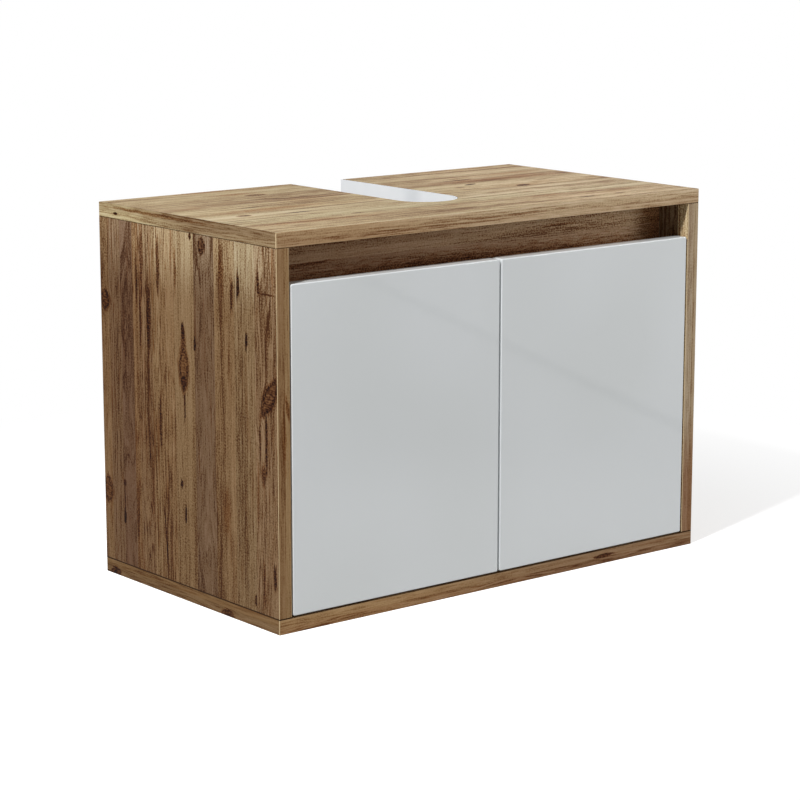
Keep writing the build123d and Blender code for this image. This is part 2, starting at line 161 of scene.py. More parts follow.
def lay_staves(tree, place, staves):
    """The tint of each stave across a board, and its nature: how streaky, ringed and flamed it is."""
    *staves, high = staves
    low = staves[0][0]
    share = add(tree, "MapRange", {"Value": place, 1: low, 2: high, 3: 0, 4: 1})
    tints = [((start - low) / (high - low), tint) for start, tint, *_ in staves]
    natures = [((start - low) / (high - low), nature) for start, _, *nature in staves]
    tint = add(tree, "ValToRGB", {0: share}, stops=tints)
    nature = add(tree, "ValToRGB", {0: share}, stops=natures)
    for ramp in (tint, nature):
        ramp.color_ramp.interpolation = "CONSTANT"
    return tint, add(tree, "SeparateColor", {0: nature}).outputs


def knots_and_marks(tree, board, across, knots, marks):
    """The dark and the pale shades that knots and marks give, and the grain's way across, round the knots."""
    width = across
    darks = []
    pales = []
    jags = add(tree, "VectorMath", {0: board, 1: (1 / JAG_SIZE[0], 1 / JAG_SIZE[1], 0)}, operation="MULTIPLY")
    jags = add(tree, "TexNoise", {"Vector": jags, "Scale": 1.0, "Detail": 2.0}, noise_dimensions="2D")
    jags = add(tree, "Math", {0: jags, 1: NOISE_MIDDLE}, operation="SUBTRACT")
    for number, (u, v, long, wide, turn, strength) in enumerate((*knots, *marks)):
        spot = add(tree, "Mapping", {"Vector": board, "Location": (u, v, 0),
                                     "Rotation": (0, 0, radians(turn)),
                                     "Scale": (long, wide, MARK_DEPTH)}, vector_type="TEXTURE")
        if number < len(knots):
            near = add(tree, "VectorMath", {0: spot, 1: (1 / PUSH_SIZE[0], 1 / PUSH_SIZE[1], 1)},
                       operation="MULTIPLY")
            near = add(tree, "VectorMath", {0: near}, operation="LENGTH").outputs["Value"]
            pull = add(tree, "MapRange", {"Value": near, 1: 0, 2: 1, 3: -PUSH, 4: 0},
                       interpolation_type="SMOOTHERSTEP")
            off = add(tree, "Math", {0: across, 1: v}, operation="SUBTRACT")
            width = add(tree, "Math", {0: off, 1: pull, 2: width}, operation="MULTIPLY_ADD")
            # A knot is a pointed eye: half widths across it and the square of half lengths along it.
            ends = add(tree, "SeparateXYZ", {0: spot}).outputs
            reach = add(tree, "Math", {0: ends[1]}, operation="ABSOLUTE")
            reach = add(tree, "Math", {0: ends[0], 1: ends[0], 2: reach}, operation="MULTIPLY_ADD")
            reach = add(tree, "Math", {0: jags, 1: KNOT_JAGS, 2: reach}, operation="MULTIPLY_ADD")
            rings = add(tree, "MapRange", {"Value": reach, 1: 0, 2: KNOT_REACH, 3: 0, 4: 1})
            rings = add(tree, "ValToRGB", {0: rings}, stops=KNOT_RINGS)
            shade = add(tree, "Math", {0: rings, 1: strength}, operation="MULTIPLY")
        else:
            # The deeper a mark is, the crisper is its edge.
            reach = add(tree, "VectorMath", {0: spot}, operation="LENGTH").outputs["Value"]
            reach = add(tree, "Math", {0: jags, 1: MARK_JAGS, 2: reach}, operation="MULTIPLY_ADD")
            shade = add(tree, "MapRange", {"Value": reach, 1: MARK_CORE * abs(strength), 2: MARK_EDGE,
                                           3: strength, 4: 0.0}, interpolation_type="SMOOTHSTEP")
        (pales if strength < 0 else darks).append(shade)
    return darks, pales, width


def oak_decor(name, along, across, face, slide, staves, knots=(), marks=(), cast="#CFC2B7", contrast=1.0,
              pores=1.0, pale=None, strip=False, joints=0, between=None):
    """Printed oak on a board. Melamine paper has a low sheen, and its grain is pressed a little into it.

    along and across are the axes of the grain and of the staves, and face is where the printed
    face lies on the third axis. slide moves the board along the print. staves are (start, tint,
    streaks, rings, flames) across the board, the last three from 0 to 1, and then where the last
    one ends. knots and marks are (along, across, half length, half width, turn, depth), in
    millimetres and degrees, and a mark whose depth is below 0 is pale. cast colours the whole print,
    and contrast and pores are the strength of its figure and of the pores in it. pale is (start,
    end, cast) where the cast changes along the grain. strip is for an edge strip, which has a
    paler core in place of chipboard. joints says which corners close against another board: 1 the
    upper, -1 the lower, 0 both. between is where a board that stands between two others begins
    and stops.
    """
    through = X + Y + Z - along - across
    material, tree, surface = finish(name)
    place = add(tree, "TexCoord")
    mm = add(tree, "VectorMath", {0: place.outputs["Object"], 3: 1 / MM}, operation="SCALE")
    axes = add(tree, "SeparateXYZ", {0: mm}).outputs
    depth = add(tree, "Math", {0: axes[through], 1: face}, operation="SUBTRACT")
    board = add(tree, "CombineXYZ", {0: axes[along], 1: axes[across], 2: depth})

    # Each stave is a strip of another tree: its own tint, its own nature, its own place along the grain.
    stave, (streaky, ringed, flamed) = lay_staves(tree, axes[across], staves)
    blue = add(tree, "SeparateColor", {0: stave}).outputs[2]
    step = add(tree, "Math", {0: blue, 1: STAVE_STEP, 2: slide}, operation="MULTIPLY_ADD")
    step = add(tree, "Math", {0: depth, 1: DEPTH_STEP, 2: step}, operation="MULTIPLY_ADD")
    length = add(tree, "Math", {0: axes[along], 1: step}, operation="ADD")
    darks, pales, width = knots_and_marks(tree, board, axes[across], knots, marks)

    # Where a stave is sawn flat, its growth rings bend into flames. Its fibres and pores run straight.
    straight = add(tree, "CombineXYZ", {0: length, 1: width})
    flame = add(tree, "VectorMath", {0: straight, 1: (1 / FLAME_SIZE[0], 1 / FLAME_SIZE[1], 0)},
                operation="MULTIPLY")
    flame = add(tree, "TexNoise", {"Vector": flame, "Scale": 1.0, "Detail": 1.0}, noise_dimensions="2D")
    flame = add(tree, "Math", {0: flame, 1: NOISE_MIDDLE}, operation="SUBTRACT")
    bend = add(tree, "MapRange", {"Value": flamed, 1: 0, 2: 1, 3: FLAME_BEND[0], 4: FLAME_BEND[1]})
    width = add(tree, "Math", {0: flame, 1: bend, 2: width}, operation="MULTIPLY_ADD")
    bent = add(tree, "CombineXYZ", {0: length, 1: width})
    figure = {}
    for part, (long, wide, detail) in OAK_FIGURE.items():
        grain = bent if part in ("clouds", "bands", "rings") else straight
        grain = add(tree, "VectorMath", {0: grain, 1: (1 / long, 1 / wide, 0)}, operation="MULTIPLY")
        figure[part] = add(tree, "TexNoise", {"Vector": grain, "Scale": 1.0, "Detail": detail},
                           noise_dimensions="2D")

    # The tone of the figure, which pale marks lift.
    patch = add(tree, "MapRange", {"Value": figure["patches"], 1: PATCH[0], 2: PATCH[1], 3: 0, 4: 1})
    marked = add(tree, "MapRange", {"Value": ringed, 1: 0, 2: 1, 3: RINGS_SHARE[0], 4: RINGS_SHARE[1]})
    shares = {"clouds": 1, "bands": 1, "rings": marked, "fibres": marked, "pores": pores, "saw marks": patch}
    tone = MIDDLE_TONE
    if pales:
        tone = add(tree, "Math", {0: strongest(tree, pales, "MINIMUM"), 1: -PALE_LIFT, 2: MIDDLE_TONE},
                   operation="MULTIPLY_ADD")
    for part, weight in OAK_WEIGHTS.items():
        swing = add(tree, "Math", {0: figure[part], 1: NOISE_MIDDLE}, operation="SUBTRACT")
        swing = add(tree, "Math", {0: swing, 1: shares[part]}, operation="MULTIPLY")
        tone = add(tree, "Math", {0: swing, 1: weight * contrast, 2: tone}, operation="MULTIPLY_ADD")
    shades = add(tree, "ValToRGB", {0: tone}, stops=OAK_SHADES)
    wood = add(tree, "Mix", {0: 1.0, 6: shades, 7: stave}, data_type="RGBA", blend_type="MULTIPLY")

    # Knots and marks are grainy: the pores break them up. Dark streaks come in clusters, and a few
    # short flecks lie in the streakiest staves.
    if darks:
        torn = add(tree, "MapRange", {"Value": figure["pores"], 1: NOISE_LOW, 2: NOISE_HIGH,
                                      3: TORN[0], 4: TORN[1]})
        darks = [add(tree, "Math", {0: strongest(tree, darks), 1: torn}, operation="MULTIPLY")]
    for part, share in (("streaks", patch), ("flecks", streaky)):
        start, end, deepest = OAK_DARKS[part]
        shade = add(tree, "MapRange", {"Value": figure[part], 1: start, 2: end, 3: 0, 4: deepest * contrast})
        shade = add(tree, "Math", {0: shade, 1: streaky}, operation="MULTIPLY")
        darks.append(add(tree, "Math", {0: shade, 1: share}, operation="MULTIPLY"))
    stain = add(tree, "ValToRGB", {0: strongest(tree, darks)}, stops=STAINS)
    wood = add(tree, "Mix", {0: 1.0, 6: wood.outputs[2], 7: stain}, data_type="RGBA", blend_type="MULTIPLY")
    # On several boards the cast and its change along the grain are painted light and shade: darker or paler
    # for how light falls on that part.
    tinge = linear(cast)
    if pale:
        start, end, paler = pale
        rise = add(tree, "MapRange", {"Value": axes[along], 1: start, 2: end, 3: 0, 4: 1},
                   interpolation_type="SMOOTHSTEP")
        tinge = add(tree, "Mix", {0: rise, 6: linear(cast), 7: linear(paler)}, data_type="RGBA").outputs[2]
    colour = add(tree, "Mix", {0: 1.0, 6: wood.outputs[2], 7: tinge}, data_type="RGBA", blend_type="MULTIPLY")
    colour = colour.outputs[2]

    # Corners are where the surface faces none of the axes. Closed joints are dark there, painted shade for
    # the hairline gap between two boards.
    normal = place.outputs["Normal"]
    facing = add(tree, "VectorMath", {0: normal}, operation="ABSOLUTE")
    facing = add(tree, "SeparateXYZ", {0: facing}).outputs
    upright = add(tree, "SeparateXYZ", {0: normal}).outputs[Z] if joints else facing[Z]
    corner = add(tree, "Math", {0: strongest(tree, facing), 1: ROUND}, operation="LESS_THAN")
    closed = add(tree, "Math", {0: upright, 1: joints or 1}, operation="MULTIPLY")
    closed = add(tree, "Math", {0: closed, 1: TURNED}, operation="GREATER_THAN")
    closed = add(tree, "Math", {0: closed, 1: corner}, operation="MULTIPLY")
    if between:
        foot, head = between
        off = add(tree, "Math", {0: axes[along], 1: (foot + head) / 2}, operation="SUBTRACT")
        off = add(tree, "Math", {0: off}, operation="ABSOLUTE")
        shut = add(tree, "Math", {0: off, 1: (head - foot) / 2 - SEAM_SHADE}, operation="GREATER_THAN")
        closed = add(tree, "Math", {0: closed, 1: shut}, operation="MAXIMUM")
    if strip:
        # The scraper cuts through the print at the upright corners, down to the strip's paler core.
        core = add(tree, "Math", {0: facing[Z], 1: TURNED}, operation="LESS_THAN")
        core = add(tree, "Math", {0: core, 1: corner}, operation="MULTIPLY")
        colour = add(tree, "Mix", {0: core, 6: colour, 7: linear(STRIP_CORE)}, data_type="RGBA").outputs[2]
        rough = add(tree, "MapRange", {"Value": tone, 1: STRIP_TONES[0], 2: STRIP_TONES[1],
                                       3: STRIP_ROUGHNESS[0], 4: STRIP_ROUGHNESS[1]})
    # The dark of closed joints is painted shade.
    colour = add(tree, "Mix", {0: closed, 6: colour, 7: linear(JOINT_SHADE_BROWN)}, data_type="RGBA").outputs[2]
    if not strip:
        # Bare chipboard wherever the surface isn't one of the two printed faces. Its flakes lie flat.
        flake = add(tree, "VectorMath", {0: mm, 1: [1 / size for size in CHIP_FLAKE]}, operation="MULTIPLY")
        flake = add(tree, "TexVoronoi", {"Vector": flake, "Scale": 1.0, "Randomness": 1.0})
        flake = add(tree, "SeparateColor", {0: flake.outputs["Color"]})
        flakes = add(tree, "ValToRGB", {0: flake}, stops=CHIP_SHADES)
        printed = add(tree, "Math", {0: facing[through], 1: TURNED}, operation="GREATER_THAN")
        colour = add(tree, "Mix", {0: printed, 6: flakes, 7: colour}, data_type="RGBA").outputs[2]
        rough = add(tree, "MapRange", {"Value": printed, 1: 0, 2: 1, 3: CHIP_ROUGHNESS, 4: PRINT_ROUGHNESS})
    relief = add(tree, "Bump", {"Strength": 0.3, "Distance": 0.1 * MM, "Height": tone})
    feed(tree, surface, {"Base Color": colour, "Roughness": rough, "Normal": relief, "IOR": 1.5,
                         "Specular IOR Level": 0.04})
    return material


# The top: staves run from left to right, paler ones to the front.
TOP_STAVES = [
    (-165, "#FFF8F6", 0.2, 0.3, 0.1), (-138, "#F6ECE8", 0.4, 0.5, 0.3),
    (-98, "#FFFDFD", 0.2, 0.4, 0.1), (-64, "#FEF8F8", 0.2, 0.3, 0.2), (-20, "#FBF3EE", 0.5, 0.5, 0.4),
    (8, "#FDF6F2", 0.2, 0.3, 0.1), (40, "#E8DBD5", 0.6, 0.6, 0.5), (74, "#F5EBE5", 0.3, 0.4, 0.2),
    (104, "#FCF4F0", 0.2, 0.3, 0.1), (142, "#F4E9E1", 0.4, 0.5, 0.3), 165]
TOP_KNOTS = [
    (-247, -36, 9, 4, 0, 0.9), (167, -12, 11, 5, 15, 1.0), (-132, 104, 14, 4.5, 0, 0.9)]
TOP_MARKS = [
    (-247, -36, 6, 2.2, 0, 1.0), (-181, -47, 17, 2.2, 2, 1.0), (-202, 16, 13, 2, 4, 0.8),
    (-137, -90, 9, 2, 0, 0.8), (122, 30, 11, 2.8, 18, 1.0), (93, 15, 8, 2, 0, 0.7),
    (167, -12, 8, 3, 15, 1.0), (-81, 47, 13, 2, 6, 0.65), (150, -139, 14, 2.2, 2, 0.95),
    (202, -136, 10, 2, 0, 0.75), (222, 17, 10, 2, 0, 0.6), (-37, 65, 14, 2, 5, 0.65),
    (135, 70, 22, 2.4, 2, 0.85), (290, 54, 16, 2.6, 0, 0.85), (125, -62, 14, 2.4, 0, 0.5),
    (-210, -112, 100, 10, 0, 0.3), (-190, -4, 90, 10, 0, 0.35), (190, 55, 130, 11, 0, 0.4),
    (-110, 40, 60, 24, 0, 0.2), (-150, 122, 40, 10, 0, 0.3), (125, -99, 40, 6, 0, 0.35),
    (240, 92, 66, 8, 0, 0.25), (-165, 158, 55, 8, 0, 0.3)]
# Its cast grows paler to the right, a painted sheen.
dress(oak_decor("oak_print_and_painted_sheen_top", X, Y, TOP_FACE, 0, TOP_STAVES, TOP_KNOTS, TOP_MARKS, cast="#E4E4DD",
                contrast=1.2, pores=0.45, pale=(-60, 200, "#FFFFFF")), "top_panel")

# The bottom: its inner face shows when the doors are open.
BOTTOM_STAVES = [
    (-165, "#F3EBE4", 0.5, 0.6, 0.3), (-120, "#DFD6D6", 0.6, 0.7, 0.8),
    (-84, "#FFFBF6", 0.2, 0.4, 0.1), (-40, "#E5D8D0", 0.7, 0.8, 0.4), (2, "#F5F0F2", 0.3, 0.5, 0.2),
    (48, "#D3C9D1", 0.5, 0.7, 1.0), (90, "#FEF7F0", 0.3, 0.5, 0.1), (128, "#E7DEDB", 0.6, 0.7, 0.4),
    165]
BOTTOM_KNOTS = [
    (-60, 30, 22, 7, 0, 0.9), (190, -70, 12, 5, 0, 0.9), (-215, 112, 9, 5, 0, 0.8)]
BOTTOM_MARKS = [
    (60, -100, 30, 2, 0, 0.7), (-180, -20, 24, 2.4, 0, 0.7), (120, 70, 40, 3, 0, 0.5)]
dress(oak_decor("oak_print_bottom", X, Y, BOARD, 710, BOTTOM_STAVES, BOTTOM_KNOTS, BOTTOM_MARKS,
                cast="#C1B2A5"), "bottom_panel")

# The left side: staves stand upright; a long knot in the middle, a bough scar near the front.
LEFT_STAVES = [
    (-165, "#EEE8ED", 0.6, 0.9, 0.5), (-127.5, "#EFEEF1", 0.3, 0.7, 0.0),
    (-91, "#EEE7E5", 0.3, 0.5, 0.2), (-55, "#CDC4CB", 0.5, 0.8, 1.0),
    (-17.5, "#F0EBEA", 0.1, 0.25, 0.1), (20, "#F2E9E5", 0.6, 0.9, 0.2),
    (47.5, "#F2ECEA", 0.7, 0.9, 0.0), (62.5, "#E5DAD9", 1.0, 1.0, 0.1), (90, "#EBDDD6", 0.8, 0.7, 0.0),
    (100, "#BFAFB5", 0.5, 0.8, 1.0), (125, "#CEC1C2", 0.7, 0.9, 0.3),
    (147.5, "#E2D6D0", 0.4, 0.6, 0.5), 165]
LEFT_KNOTS = [
    (256, 4, 26, 7.6, 0, 0.9), (392, -32, 9, 5, 0, 1.0), (249, -151, 25, 8, -34, 1.0),
    (312, 156, 11, 8, 0, 0.95), (97, 158, 15, 8, 0, 0.9)]
LEFT_MARKS = [
    (297, 5, 10, 2.8, 0, 1.0), (284, 4, 18, 5, 0, 0.65), (242, 4, 8, 4.4, 0, 0.95),
    (216, 3, 20, 1.6, 0, 0.85), (129, 11, 5, 2.4, 0, 1.0), (96, 4, 9, 2, 0, 1.0),
    (400, -11, 4, 2.2, 0, 0.95), (357, -97, 15, 2.6, 0, 0.95), (347, -86, 21, 2.8, 0, 0.75),
    (367, -67, 30, 6, 0, 0.4), (302, -111.5, 10, 2.2, 0, 0.95), (367, -133, 15, 2.2, 0, 0.85),
    (286, -17.5, 7, 2.2, 0, 0.95), (355, -148, 1.4, 16, 0, 0.6), (362, 51, 36, 3.6, 0, 0.75),
    (301, 70, 44, 4.6, 0, 0.7), (341, 93, 26, 2.4, 0, 0.7), (362, 83, 42, 3.6, 0, 0.65),
    (300, 86, 46, 3, 0, 0.6), (190, 50, 30, 2.4, 0, 0.75), (160, 72, 28, 2, 0, 0.65),
    (71, 125, 9, 2.4, 0, 1.0), (92, 124.5, 24, 1.4, 0, 0.75), (110, 124, 4, 3, 0, 0.8),
    (62, 42.5, 46, 1.6, 5, 0.8), (115, 67, 40, 2.6, 0, 0.55), (75, 98, 30, 2.6, 0, 0.6),
    (205, -145, 36, 2, 0, 0.85), (200, -134, 34, 1.6, 0, 0.7), (140, -130, 46, 2, 0, 0.4),
    (165, -140, 14, 4.5, 0, 0.6), (247, -150, 13, 3.4, -34, -0.7), (198, -139.5, 30, 3, 0, -0.9),
    (60, -158, 16, 3, 0, 0.85), (47, -139, 28, 2.8, 0, 0.55), (29, -123.5, 7, 2.2, 0, 0.8),
    (112, -73, 34, 10, 0, 0.35), (361, 18, 28, 2.6, 0, 0.55)]
# Its cast is darker than the top's, painted shade, and grows paler over its last 75 mm under the top, painted
# light.
dress(oak_decor("oak_print_and_painted_light_left_side", Z, Y, -SIDE_FACE, 1300, LEFT_STAVES, LEFT_KNOTS, LEFT_MARKS,
                cast="#B19E8C", contrast=0.94, pale=(325, 400, "#E6DFD5"), between=STANDING),
      "side_panel_left")

# The right side: another cut of the same print.
RIGHT_STAVES = [
    (-165, "#FFFAF4", 0.1, 0.3, 0.0), (-149, "#B1A39E", 0.9, 0.9, 0.2),
    (-96, "#CCC2BC", 0.1, 0.3, 0.1), (-58, "#AC9FA1", 0.5, 0.8, 1.0), (-30, "#C8BBB5", 0.3, 0.5, 0.2),
    (14, "#BDB0A9", 0.6, 0.9, 0.2), (52, "#C9C3C0", 0.3, 0.7, 0.0), (88, "#A39292", 0.5, 0.8, 1.0),
    (122, "#BFB5AF", 0.5, 0.7, 0.2), 165]
RIGHT_KNOTS = [
    (120, -40, 30, 9, 0, 0.8), (330, 70, 11, 6, 0, 0.95), (205, 118, 18, 8, 0, 0.85)]
RIGHT_MARKS = [
    (260, -92, 20, 2.6, 0, 0.85), (64, 34, 24, 2.4, 0, 0.85), (371, -120, 14, 2.6, 0, 0.85),
    (180, 20, 26, 3, 0, 0.8), (300, -20, 36, 4, 0, 0.6), (92, -116, 40, 3, 0, 0.6),
    (150, 80, 8, 2.6, 0, 0.95)]
# Its cast grows paler towards its head: painted light over the part that shows in the finger gap.
dress(oak_decor("oak_print_and_painted_light_right_side", Z, Y, SIDE_FACE, 2900, RIGHT_STAVES, RIGHT_KNOTS, RIGHT_MARKS,
                cast="#EDE2D6", pale=(330, 390, "#FFFFFF"), between=STANDING), "side_panel_right")

# The rail behind the finger gap, with painted shade low down over the door tops and at its right end by the
# side, and a cast that grows paler to the right, painted light.
RAIL_STAVES = [
    (334, "#F3EBE4", 0.3, 0.6, 0.0), (352, "#EBE0D9", 0.2, 0.5, 0.0), (378, "#FFFBF6", 0.2, 0.4, 0.0),
    404]
RAIL_MARKS_AND_SHADE = [
    # the marks at (0, 348) and (290, 384) are painted shade, over the door tops and by the right side
    (125, 388, 26, 1.6, 2, 0.5), (-225, 376, 40, 2.4, 2, 0.5), (0, 348, 420, 26, 0, 0.5),
    (290, 384, 46, 60, 0, 0.42)]
dress(oak_decor("oak_print_and_painted_light_grip_rail", X, Z, GRIP_RAIL_FACE, 4100, RAIL_STAVES, (), RAIL_MARKS_AND_SHADE,
                cast="#CBB2AB", pale=(-200, 284, "#FAECEC")), "grip_rail")

# The rail at the wall.
BACK_RAIL_STAVES = [
    (16, "#F3EBE4", 0.6, 0.8, 0.2), (46, "#D3C9D1", 0.5, 0.8, 1.0), (70, "#FFFBF6", 0.3, 0.5, 0.1),
    96]
BACK_RAIL_KNOTS = [(70, 58, 14, 6, 0, 0.9)]
dress(oak_decor("oak_print_back_rail", X, Z, BACK_RAIL_FACE, 5300, BACK_RAIL_STAVES, BACK_RAIL_KNOTS),
      "back_rail")
soften(BOARD_ARRIS, "top_panel", "bottom_panel", "side_panel_left", "side_panel_right", "grip_rail",
       "back_rail")

# ------------------------------------------------------------------ edge strips
# 0.8 mm strips of the same printed oak, glued along the front edges and the two ends of the top
# and bottom, and scraped flush with a small round on their outer corners.
STRIP_ARRIS = 0.35 * MM
STRIP_CONTRAST = 0.75
STRIP_PORES = 0.5
STRIPS = {                      # what each strip tells oak_decor
    "top_front_edging": {
        "along": X, "across": Z, "face": FRONT_FACE, "slide": 6100, "joints": -1,
        "staves": [(404, "#F3EBE4", 0.2, 0.7, 0.0), (411, "#FFFBF6", 0.1, 0.5, 0.0), 420],
        # its cast grows paler to the right, painted light
        "cast": "#E4D1C7", "pale": (-200, 30, "#FBF3F5")},
    "bottom_front_edging": {
        "along": X, "across": Z, "face": FRONT_FACE, "slide": 7300, "joints": 1,
        "staves": [(0, "#E5D8D0", 0.7, 0.8, 0.3), (7, "#F3EDE7", 0.5, 0.6, 0.1), 16],
        "marks": [(160, 9, 18, 2.6, 0, 0.8)],
        "cast": "#E7D0BC", "pale": (-200, 150, "#CBB6AE")},
    "top_left_edging": {
        "along": Y, "across": Z, "face": -SIDE_FACE, "slide": 8100, "joints": -1,
        "staves": [(404, "#FFFBF6", 0.3, 0.7, 0.1), (412, "#E6DCD4", 0.4, 0.9, 0.0), 420],
        "marks": [(132, 410, 4, 1.6, 0, 1.0), (40, 416, 110, 2.4, 0, 0.45)],
        "cast": "#C1B8B2", "pale": (-20, 120, "#F3F6F0")},
    "top_right_edging": {
        "along": Y, "across": Z, "face": SIDE_FACE, "slide": 8900, "joints": -1,
        "staves": [(404, "#F3EDE7", 0.4, 0.6, 0.1), (412, "#FFFBF6", 0.3, 0.6, 0.1), 420],
        "knots": [(40, 413, 8, 3.5, 0, 0.9)],
        "cast": "#CBBDB0"},
    "bottom_left_edging": {
        "along": Y, "across": Z, "face": -SIDE_FACE, "slide": 9700, "joints": 1,
        "staves": [(0, "#DFD6D6", 0.5, 0.8, 0.4), (9, "#E5D8D0", 0.4, 0.7, 0.2), 16],
        "knots": [(146, 3, 10, 4.5, 0, 1.0), (-72, 2, 11, 5, 0, 0.95)],
        "marks": [(146, 2, 4, 3, 0, 1.0), (-72, 1, 3.4, 2.4, 0, 0.9)],
        "cast": "#B2A08B"},
    "bottom_right_edging": {
        "along": Y, "across": Z, "face": SIDE_FACE, "slide": 10300, "joints": 1,
        "staves": [(0, "#DFD6D6", 0.5, 0.8, 0.3), (9, "#E5D8D0", 0.4, 0.7, 0.1), 16],
        "knots": [(-60, 9, 10, 4, 0, 0.9)],
        "cast": "#C1B2A5"},
    "side_left_front_edging": {
        "along": Z, "across": X, "face": FRONT_FACE, "slide": 11100, "between": STANDING,
        "staves": [(-300, "#E5D8D0", 0.2, 0.5, 0.0), (-291, "#F3EBE4", 0.1, 0.4, 0.0), -284],
        "marks": [(205, -292, 45, 3, 0, 0.35), (238, -287, 20, 3, -14, 0.5)],
        "cast": "#D1BEAD"},
    "side_right_front_edging": {
        "along": Z, "across": X, "face": FRONT_FACE, "slide": 12300, "between": STANDING,
        "staves": [(284, "#F5F0F2", 0.1, 0.4, 0.0), (293, "#EDE4DD", 0.2, 0.5, 0.0), 300],
        "cast": "#C7ACA2", "pale": (75, 175, "#EAE7EB")},
}
for strip, decor in STRIPS.items():
    dress(oak_decor("oak_strip_" + strip, contrast=STRIP_CONTRAST, pores=STRIP_PORES, strip=True, **decor),
          strip)
soften(STRIP_ARRIS, *STRIPS)

# ------------------------------------------------------------------ cut-out lining
# The cut-out for the waste pipe is lined with a white ABS strip, bent round its inner end and
# glued to the bare chipboard. It is smooth, with a faint wave where it follows the saw cut, and a
# little greyer over 30 mm before the bend, which is painted shade.
PAINTED_SHADE_SPAN = (5 * MM, 57 * MM)
PAINTED_SHADE_STOPS = [(0.1, "#FFFFFF"), (0.42, "#F0F1F2"), (0.6, "#F0F1F2"), (0.9, "#FFFFFF")]
ABS_WHITES = ("#F3F6F9", "#FAFCFE")
SAW_WAVE = 14 * MM
abs_lining, tree, surface = finish("white_abs_strip")
place = add(tree, "TexCoord").outputs["Object"]
axes = add(tree, "SeparateXYZ", {0: place}).outputs
# painted shade: a soft grey band across the lining
painted_shade = add(tree, "MapRange", {"Value": axes[Y], 1: PAINTED_SHADE_SPAN[0], 2: PAINTED_SHADE_SPAN[1], 3: 0, 4: 1})
painted_shade = add(tree, "ValToRGB", {0: painted_shade}, stops=PAINTED_SHADE_STOPS)
wave = add(tree, "TexNoise", {"Vector": place, "Scale": 1 / SAW_WAVE, "Detail": 1.0})
relief = add(tree, "Bump", {"Strength": 0.3, "Distance": 0.15 * MM, "Height": wave})
tint = add(tree, "Mix", {0: wave, 6: linear(ABS_WHITES[0]), 7: linear(ABS_WHITES[1])}, data_type="RGBA")
tint = add(tree, "Mix", {0: 1.0, 6: tint.outputs[2], 7: painted_shade}, data_type="RGBA", blend_type="MULTIPLY")
feed(tree, surface, {"Base Color": tint.outputs[2], "Normal": relief, "Roughness": 0.3, "IOR": 1.53})
dress(abs_lining, "cutout_edging")

# ------------------------------------------------------------------ board fittings
# Beech dowels glued in the joints, and the cams that pull the boards together: a zinc-plated
# bolt from the next board is held in a die-cast zinc barrel that is turned with a screwdriver.
BEECH_SHADES = [(NOISE_LOW, "#B68F62"), (NOISE_HIGH, "#D9B98C")]
FIBRE_SIZE = (1.2 * MM, 1.2 * MM, 9 * MM)   # coarser than real beech fibres, so that they show
beech, tree, surface = finish("beech_dowel_wood")
place = add(tree, "TexCoord").outputs["Object"]
fibre = add(tree, "VectorMath", {0: place, 1: FIBRE_SIZE}, operation="DIVIDE")
fibre = add(tree, "TexNoise", {"Vector": fibre, "Scale": 1.0, "Detail": 2.0})
tint = add(tree, "ValToRGB", {0: fibre}, stops=BEECH_SHADES)
feed(tree, surface, {"Base Color": tint, "Roughness": 0.6})
dress(beech, "dowels_left", "dowels_right")

METAL_GRIT = 0.5 * MM           # coarser than the real grain of a plated or cast skin, so that it shows
DULLER = 0.08                   # how far the grit takes the roughness up
GLOSSIER = 0.06                 # and how far down


def plated_metal(name, dull, bright, roughness, cloud):
    """Plated or cast metal: a grey that is clouded over a few millimetres, and a fine grain in its gloss."""
    material, tree, surface = finish(name)
    place = add(tree, "TexCoord").outputs["Object"]
    clouds = add(tree, "TexNoise", {"Vector": place, "Scale": 1 / (cloud * MM), "Detail": 3.0})
    tint = add(tree, "ValToRGB", {0: clouds}, stops=[(NOISE_LOW, dull), (NOISE_HIGH, bright)])
    grit = add(tree, "TexNoise", {"Vector": place, "Scale": 1 / METAL_GRIT, "Detail": 2.0})
    gloss = add(tree, "MapRange", {"Value": grit, 1: NOISE_LOW, 2: NOISE_HIGH, 3: roughness - GLOSSIER,
                                   4: roughness + DULLER})
    relief = add(tree, "Bump", {"Strength": 0.2, "Distance": 0.03 * MM, "Height": grit})
    feed(tree, surface, {"Base Color": tint, "Roughness": gloss, "Normal": relief, "Metallic": 1.0})
    return material


zinc_plate = plated_metal("zinc_plated_steel_screw", "#A9ADB1", "#D0D3D6", 0.34, 3.0)
dress(plated_metal("die_cast_zinc", "#8A8D90", "#B4B6B8", 0.46, 2.0), "cams_left", "cams_right")
dress(zinc_plate, "cam_bolts_left", "cam_bolts_right")

# ------------------------------------------------------------------ doors
# Two slabs of 16 mm MDF, wrapped at the front and round the edges in a white high-gloss foil,
# with a satin white back. The foil shows a very slight orange peel over 9 mm.
FOIL_SHADES = [(0.35, "#E5E9EA"), (0.65, "#E9EDEF")]
FOIL_DRIFT = 160 * MM
PEEL_SIZE = 9 * MM
GLOSS_FRONT = 0.035
SATIN_BACK = 0.42
BACKWARDS = 0.7                 # the back is where the normal points further to the wall than this
gloss_white, tree, surface = finish("white_gloss_foil_on_mdf")
place = add(tree, "TexCoord")
facing = add(tree, "SeparateXYZ", {0: place.outputs["Normal"]}).outputs
back = add(tree, "Math", {0: facing[Y], 1: BACKWARDS}, operation="GREATER_THAN")
peel = add(tree, "TexNoise", {"Vector": place.outputs["Object"], "Scale": 1 / PEEL_SIZE, "Detail": 1.0})
drift = add(tree, "TexNoise", {"Vector": place.outputs["Object"], "Scale": 1 / FOIL_DRIFT, "Detail": 0.0})
tint = add(tree, "ValToRGB", {0: drift}, stops=FOIL_SHADES)
satin = add(tree, "MapRange", {"Value": back, 1: 0, 2: 1, 3: GLOSS_FRONT, 4: SATIN_BACK})
